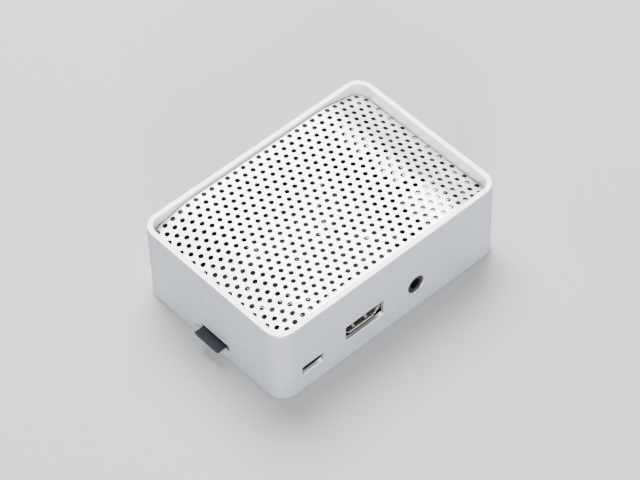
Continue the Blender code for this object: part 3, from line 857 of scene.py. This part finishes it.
def make_package(node, dot=True, under=False):
    """A moulded package with sloping sides and a round mark at its first pin. With under, it hangs."""
    low, high = span(node)
    rise = high.z - low.z
    levels = [(0.0, 0.0), (0.0, 0.45), (-0.07, 0.93), (-0.14, 1.0)]
    if under:
        levels = [(grow, 1 - part) for grow, part in levels]
    body = loft([(rounded(low, high, 0.16, 3, grow), low.z + part * rise) for grow, part in levels])
    if dot:
        inset = min(high.x - low.x, high.y - low.y) * 0.16
        profile = [(inset * 0.4, high.z - 0.08), (inset * 0.4, high.z + PAST)]
        body = cut(body, turned((low.x + inset, high.y - inset), profile, sides=20))
    piece(f"{node}_package", body, EPOXY, node)


def make_leads(node, per_side, sides):
    """Tinned feet along a package's sides. sides names them by their direction."""
    low, high = span(node)
    base = span("circuit_board")[1].z
    leads = []
    for side in sides:
        out = 0 if side[0] else 1
        along = 1 - out
        edge = (high if side[out] > 0 else low)[out]
        row = high[along] - low[along]
        half = row / per_side * 0.25
        for i in range(per_side):
            at = low[along] + row * ((i + 0.5) / per_side)
            near = [at - half] * 2
            far = [at + half] * 2
            near[out], far[out] = sorted((edge - 0.1 * side[out], edge + 0.45 * side[out]))
            leads.append(slab((*near, base + SINK), (*far, base + 0.25), 0.05, 1))
    return leads


def make_chips():
    make_package("processor")
    make_package("memory_chip", dot=False, under=True)
    make_package("network_chip")
    make_package("power_regulator")
    make_package("usb_power_switch", dot=False)
    every = ((-1, 0), (1, 0), (0, -1), (0, 1))
    leads = make_leads("network_chip", 16, every) + make_leads("power_regulator", 6, every)
    leads += make_leads("usb_power_switch", 3, every[:2])
    for i in (1, 2):
        leads += make_leads(f"power_inductor_{i}", 1, every[2:])
    piece("chip_leads", leads, SOLDER)
    for name in ("main", "network"):
        low, high = span(f"crystal_{name}")
        base = slab(low, (high.x, high.y, low.z + 0.35), 0.08)
        lid = slab((low.x + 0.18, low.y + 0.18, low.z + 0.2), (high.x - 0.18, high.y - 0.18, high.z), 0.12, 3)
        piece(f"crystal_can_{name}", join(base, lid), PLATED_PAINTED_SHADE, f"crystal_{name}")
    for i in (1, 2):
        node = f"power_inductor_{i}"
        low, high = span(node)
        groove = hoop(middle(node).xy, 1.35, 1.5, high.z - 0.12, high.z + PAST)
        piece(f"{node}_block", cut(slab(low, high, 0.3, 3), groove), FERRITE, node)
    ends = []
    for node in ("bulk_capacitor_1", "bulk_capacitor_2", "input_fuse"):
        low, high = span(node)
        piece(f"{node}_block", slab((low.x + 0.04, low.y + 0.1, low.z + 0.02),
                                    (high.x - 0.04, high.y - 0.1, high.z - 0.04), 0.12, 3),
              CERAMIC, node)
        for near, far in ((low.y, low.y + 0.55), (high.y - 0.55, high.y)):
            ends.append(slab((low.x, near, low.z), (high.x, far, high.z), 0.1))
    for node in ("led_power", "led_activity"):
        low, high = span(node)
        foot = slab((low.x + 0.25, low.y, low.z), (high.x - 0.25, high.y, low.z + 0.3), 0.04)
        dome = slab((low.x + 0.3, low.y + 0.05, low.z + 0.2), (high.x - 0.3, high.y - 0.05, high.z), 0.15, 4)
        piece(f"{node}_lens", join(foot, dome), LENS, node)
        for near, far in ((low.x, low.x + 0.28), (high.x - 0.28, high.x)):
            ends.append(slab((near, low.y, low.z), (far, high.y, low.z + 0.22), 0.04))
    piece("component_ends", ends, SOLDER)


def make_header():
    """The pin header: a notched base and two rows of square pins with tapered tips."""
    low, high, at = measured("gpio_header")
    half = PIN_PITCH / 2
    notch = 0.3
    columns = [low.x + (column + 0.5) * PIN_PITCH for column in range(PIN_COLUMNS)]
    side = []
    for x in columns:
        side += [(x - half, PIN_PITCH - notch), (x - half + notch, PIN_PITCH), (x + half - notch, PIN_PITCH)]
    side.append((high.x, PIN_PITCH - notch))
    points = [(x, at.y + y) for x, y in side] + [(x, at.y - y) for x, y in reversed(side)]
    base = prism(points, low.z, low.z + 2.5)
    piece("header_base", base, BLACK, "gpio_header")
    sections = [(0.32, low.z + 2.4), (0.32, high.z - 0.5), (0.15, high.z)]
    pins = []
    for y in (at.y - half, at.y + half):
        for x in columns:
            pins.append(loft([([(x - r, y - r), (x + r, y - r), (x + r, y + r), (x - r, y + r)], z)
                              for r, z in sections]))
    piece("header_pins", pins, GOLD)


def make_cable_connectors():
    """Upright flat-cable connectors, with their contacts, and the latches that ride above them."""
    for name in ("camera", "display"):
        low, high, at = measured(f"{name}_connector")
        body = slab(low, high, 0.15)
        slot = slab((at.x - 0.6, low.y + 1.4, low.z + 1.2), (at.x + 1.1, high.y - 1.4, high.z + PAST),
                    0.05, 1)
        places = spaced(at.y, CABLE_CONTACTS, 1.0)
        grooves = [slab((low.x - PAST, y - 0.2, low.z + 0.3), (low.x + 0.2, y + 0.2, high.z - 0.5), 0.0)
                   for y in places]
        piece(f"{name}_body", cut(body, slot, *grooves), CREAM, f"{name}_connector")
        contacts = []
        for near, far in (((at.x - 0.58, low.z + 1.25), (at.x - 0.35, high.z - 0.5)),
                          ((low.x - 0.5, low.z - 0.17), (low.x + 0.1, low.z + 0.03))):
            contacts += [slab((near[0], y - 0.16, near[1]), (far[0], y + 0.16, far[1]), 0.05, 1)
                         for y in places]
        piece(f"{name}_contacts", contacts, GOLD)
        low, high, at = measured(f"{name}_latch")
        bar_low = high.z - 1.1
        bar = cut(slab((low.x, low.y, bar_low), high, 0.25, 3),
                  slab((at.x - 0.8, low.y + 2.8, low.z), (at.x - 0.1, high.y - 2.8, high.z + PAST), 0.05, 1))
        near = at.x + 0.25
        half = 7.8
        wedge = loft([([(near, at.y - half), (far, at.y - half), (far, at.y + half), (near, at.y + half)], z)
                      for far, z in ((at.x + 0.5, low.z), (at.x + 0.75, bar_low + 0.3))])
        piece(f"{name}_clip", join(bar, wedge), BLACK, f"{name}_latch", body=f"{name}_latch_body")


# ---- the sockets ----


def cup(node, half_low, chamfer, corner, wall):
    """A stamped shell in its CAD box: square above, slanted in below, closed at its back, and with a
    rounded front lip that flares."""
    low, high, at = measured(node)
    shoulder = low.z + chamfer
    points = [(at.x - half_low, low.z), (at.x + half_low, low.z), (high.x, shoulder), (high.x, high.z),
              (low.x, high.z), (low.x, shoulder)]
    flare = 0.12
    front = low.y
    levels = [(0.0, high.y), (0.0, front + 1.0), (flare, front + 0.3), (flare, front + 0.08),
              (flare - 0.25 * wall, front), (flare - 0.75 * wall, front), (flare - wall, front + 0.08),
              (flare - wall, front + 0.3), (-wall, front + 1.0), (-wall, high.y - wall)]
    return loft([(eased(grown(points, grow), max(corner + grow, 0.05)), y) for grow, y in levels], 1)


def spring_finger(x, half, front, floor, length, rise):
    """A bent contact spring on a shell's floor, along Y."""
    top = [(front, floor + 0.05), (front + 0.25 * length, floor + 0.8 * rise),
           (front + 0.4 * length, floor + rise), (front + 0.55 * length, floor + 0.8 * rise),
           (front + length, floor + 0.1)]
    under = [(y, z - 0.16) for y, z in reversed(top)]
    return prism(top + under, x - half, x + half, axis=0)


def u_slot(tip, way, half, length, slit, low, high):
    """A cutter for a U-shaped slot that frees a spring: its closed end at tip, its arms along way."""
    way = Vector(way)
    across = Vector((-way.y, way.x))
    points = [(0, half + slit), (length, half + slit), (length, half), (slit, half), (slit, -half),
              (length, -half), (length, -half - slit), (0, -half - slit)]
    return prism([Vector(tip) + way * a + across * c for a, c in points], low, high)


def top_slots(node, inset, offset):
    """Cutters for two springs in a can's top, that lie along X and end inset from its face."""
    low, high = span(node)
    y = (low.y + high.y) / 2
    return [u_slot((high.x - inset, at), (-1, 0), 0.85, 3.2, 0.25, high.z - 1.0, high.z + PAST)
            for at in (y - offset, y + offset)]


def face_can(node):
    """A can round a socket that faces +X, before its mouths are cut."""
    low, high = span(node)
    hollow = slab((low.x + CAN, low.y + CAN, low.z + CAN), (high.x - FACE, high.y - CAN, high.z - CAN), 0.15)
    return cut(slab(low, high, 0.3, 3), hollow)


def mouth(low, high, corner, face, flare, spread):
    """A cutter for a can's mouth. It flares at the face, and spreads in front of it."""
    levels = ((0.0, face - 2 * FACE), (0.0, face - 0.2), (flare, face), (spread, face + 0.5))
    return loft([(rounded(low, high, corner, 3, grow), x) for grow, x in levels], axis=0)


def strips(places, half, rise, near, far, low, high):
    """Flat contacts along Y from near to far, rounded by rise."""
    return [slab((x - half, near, low), (x + half, far, high), rise, 1) for x in places]


def make_video_socket():
    low, high, at = measured("hdmi_shell")
    shell = cup("hdmi_shell", 5.1, 2.3, 0.7, CAN)
    places = (at.x - 2.6, at.x + 2.6)
    slits = [u_slot((x, low.y + 0.35), (0, 1), 0.55, 2.9, 0.22, low.z - PAST, low.z + 1.0) for x in places]
    piece("video_can", cut(shell, *slits), TINNED, "hdmi_shell")
    springs = [spring_finger(x, 0.5, low.y + 0.6, low.z + CAN, 2.6, 0.6) for x in places]
    piece("video_can_springs", springs, TINNED)
    low, high = span("hdmi_tongue")
    root = high.y - 1.5
    block = slab((low.x - 1.4, root, low.z - 1.4), (high.x + 1.4, high.y + 0.2, high.z + 1.0), 0.1)
    piece("video_blade", join(slab(low, high, 0.15), block), BLACK, "hdmi_tongue")
    contacts = []
    for count, z in ((10, high.z), (9, low.z)):
        contacts += strips(spaced(at.x, count, 1.0), 0.22, 0.03, low.y + 0.25, root, z - 0.04, z + 0.04)
    piece("video_contacts", contacts, GOLD)


def make_power_socket():
    piece("power_can", cup("power_socket_shell", 2.9, 0.95, 0.3, 0.3), TINNED, "power_socket_shell")
    low, high, at = measured("power_socket_tongue")
    piece("power_blade", slab(low, high, 0.12), BLACK, "power_socket_tongue")
    contacts = strips(spaced(at.x, 5, 0.65), 0.16, 0.03, low.y + 0.2, high.y - 0.2, low.z - 0.04,
                      low.z + 0.04)
    piece("power_contacts", contacts, GOLD)


def make_audio_socket():
    """The jack's block and barrel, bored for the plug, and its ring contact."""
    low, high = span("audio_jack")
    ring_low, ring_high = span("audio_contact")
    at = middle("audio_contact")
    front = span("circuit_board")[0].y + EASE
    block = slab((low.x, front, low.z), high, 0.2)
    barrel = turned(at.xz, [(BARREL - 0.3, low.y), (BARREL - 0.08, low.y + 0.08), (BARREL, low.y + 0.3),
                            (BARREL, front + 2)], 1, 48)
    bore = turned(at.xz, [(BORE + 0.5 + PAST, low.y - PAST), (BORE + 0.5, low.y), (BORE + 0.15, low.y + 0.12),
                          (BORE, low.y + 0.4), (BORE, high.y - 1)], 1, 48)
    piece("audio_block", cut(join(block, barrel), bore), GLOSSY, "audio_jack")
    outer = BORE - 0.2
    inner = BORE - 0.6
    ring = [(outer, ring_low.y), (outer, ring_high.y), (inner, ring_high.y), (inner, ring_low.y + 0.2),
            (inner + 0.1, ring_low.y)]
    piece("audio_ring", turned(at.xz, ring, 1, 32, loop=True), GOLD, "audio_contact")


def make_double_sockets():
    """The two cans with two mouths each, their springs, inserts and contacts."""
    for i in (1, 2):
        low, high = span(f"usb_shell_{i}")
        y = (low.y + high.y) / 2
        can = face_can(f"usb_shell_{i}")
        root = high.x - 0.45
        mouths = []
        springs = []
        for floor in PORT_FLOORS:
            roof = floor + PORT_HEIGHT
            mouths.append(mouth((y - PORT_HALF, floor), (y + PORT_HALF, roof), 0.35, high.x, 0.18, 0.6))
            for at in (y - 3.0, y + 3.0):
                for z, turn in ((floor + 0.05, -9), (roof - 0.05, 9)):
                    leaf = slab((high.x - 4.5, at - 0.9, z - 0.1), (root, at + 0.9, z + 0.1), 0.05)
                    springs.append(tilted(leaf, (root, at, z), turn, "Y"))
        slots = top_slots(f"usb_shell_{i}", 1.6, 3.2)
        piece(f"double_can_{i}", cut(can, *mouths, *slots), PLATED_PAINTED_SHADE, f"usb_shell_{i}")
        piece(f"double_can_springs_{i}", springs, PLATED_PAINTED_SHADE)
        low, high = span(f"usb_insert_{i}")
        root = low.x + 1.7
        shelf = (PORT_FLOORS[0] + PORT_HEIGHT, PORT_FLOORS[1])
        blocks = [slab((root - 0.3, low.y, shelf[0]), (high.x, high.y, shelf[1]), 0.1)]
        contacts = []
        for floor in PORT_FLOORS:
            blocks.append(slab((root - 0.3, y - 5.5, floor + 3.2), (high.x - 0.6, y + 5.5, floor + 5.0), 0.2))
            for at in spaced(y, 4, 2.3):
                contacts.append(slab((root, at - 0.5, floor + 3.14), (high.x - 1.4, at + 0.5, floor + 3.26),
                                     0.04, 1))
        back = slab(low, (root + 0.4, high.y, high.z), 0.1)
        piece(f"double_insert_{i}", join(back, *blocks), BLACK, f"usb_insert_{i}")
        piece(f"double_contacts_{i}", contacts, GOLD)


def make_network_socket():
    low, high = span("ethernet_shell")
    y = (low.y + high.y) / 2
    opening = mouth((y - 7.0, low.z + 1.0), (y + 7.0, high.z - 1.6), 0.4, high.x, 0.15, 0.5)
    can = cut(face_can("ethernet_shell"), opening, *top_slots("ethernet_shell", 2.0, 4.5))
    piece("network_can", can, PLATED_PAINTED_SHADE, "ethernet_shell")
    back = low.x + 8
    seat = low.z
    first, last = span("ethernet_insert")
    end = last.x + PAST
    insert = slab(first, last, 0.15)
    for half, floor, roof in ((6.0, 3.4, 10.6), (3.0, 1.8, 6.0)):
        insert = cut(insert, slab((back, y - half, seat + floor), (end, y + half, seat + roof), 0.15))
    piece("network_insert", insert, BLACK, "ethernet_insert")
    tip = last.x - 2.0
    wires = []
    for at in spaced(y, 8, 1.02):
        wire = slab((last.x - 12.5, at - 0.17, seat + 10.1), (tip, at + 0.17, seat + 10.4), 0.08)
        wires.append(tilted(wire, (tip, at, seat + 10.3), -16, "Y"))
    piece("network_contacts", wires, GOLD)


# ---- the memory card ----


def make_card_socket():
    """The card's plastic carrier, in a pressed cover that hangs below it."""
    low, high = span("sd_socket_base")
    card_low, card_high = span("sd_card")
    cover_low, cover_high = span("sd_socket_cover")
    channel = slab((low.x - PAST, card_low.y - 0.2, cover_low.z),
                   (high.x - 2.1, card_high.y + 0.2, card_high.z + 0.15), 0.0)
    carrier = cut(slab(low, high, 0.1), channel)
    piece("card_carrier", carrier, BLACK, "sd_socket_base")
    side = 0.25
    hollow = slab((cover_low.x - PAST, cover_low.y + side, cover_low.z + side),
                  (cover_high.x + PAST, cover_high.y - side, cover_high.z + PAST), 0.05, 1)
    cover = cut(slab(cover_low, cover_high, 0.12), hollow)
    x = (cover_low.x + cover_high.x) / 2
    holes = [slab((x - 2.5, y - 0.8, cover_low.z - PAST), (x + 3.5, y + 0.8, cover_low.z + side / 2 + 0.2), 0)
             for y in (card_low.y + 2.2, card_high.y - 2.2)]
    piece("card_cover", cut(cover, *holes), PLATED_PAINTED_SHADE, "sd_socket_cover")


def make_card():
    """The memory card, with its side step, thumb ridge and contacts."""
    low, high = span("sd_card")
    step = high.y - 1.3
    points = [low.xy, (high.x, low.y), (high.x, step), (low.x + 8.6, step), (low.x + 7.3, high.y),
              (low.x, high.y)]
    body_low = low.z + CARD_RIDGE
    body = prism(points, body_low, high.z, corner=0.45, edge=0.09)
    ridge = slab((low.x + 0.05, low.y + 0.8, low.z), (low.x + 1.4, high.y - 0.8, body_low + 0.2), 0.12, 3)
    piece("memory_card", join(body, ridge), SLATE, "sd_card", body="card")
    pads = [slab((high.x - 3.4, y - 0.35, body_low - SINK), (high.x - 0.5, y + 0.35, body_low + 0.04), 0.0)
            for y in spaced(low.y + 5.15, 8, 1.1)]
    piece("card_contacts", pads, GOLD, body="card")


for make in (make_camera, make_stage, make_case, make_lid, make_base_plate, make_screws, make_board,
             make_chip_parts, make_chips, make_header, make_cable_connectors, make_video_socket,
             make_power_socket, make_audio_socket, make_double_sockets, make_network_socket,
             make_card_socket, make_card):
    make()
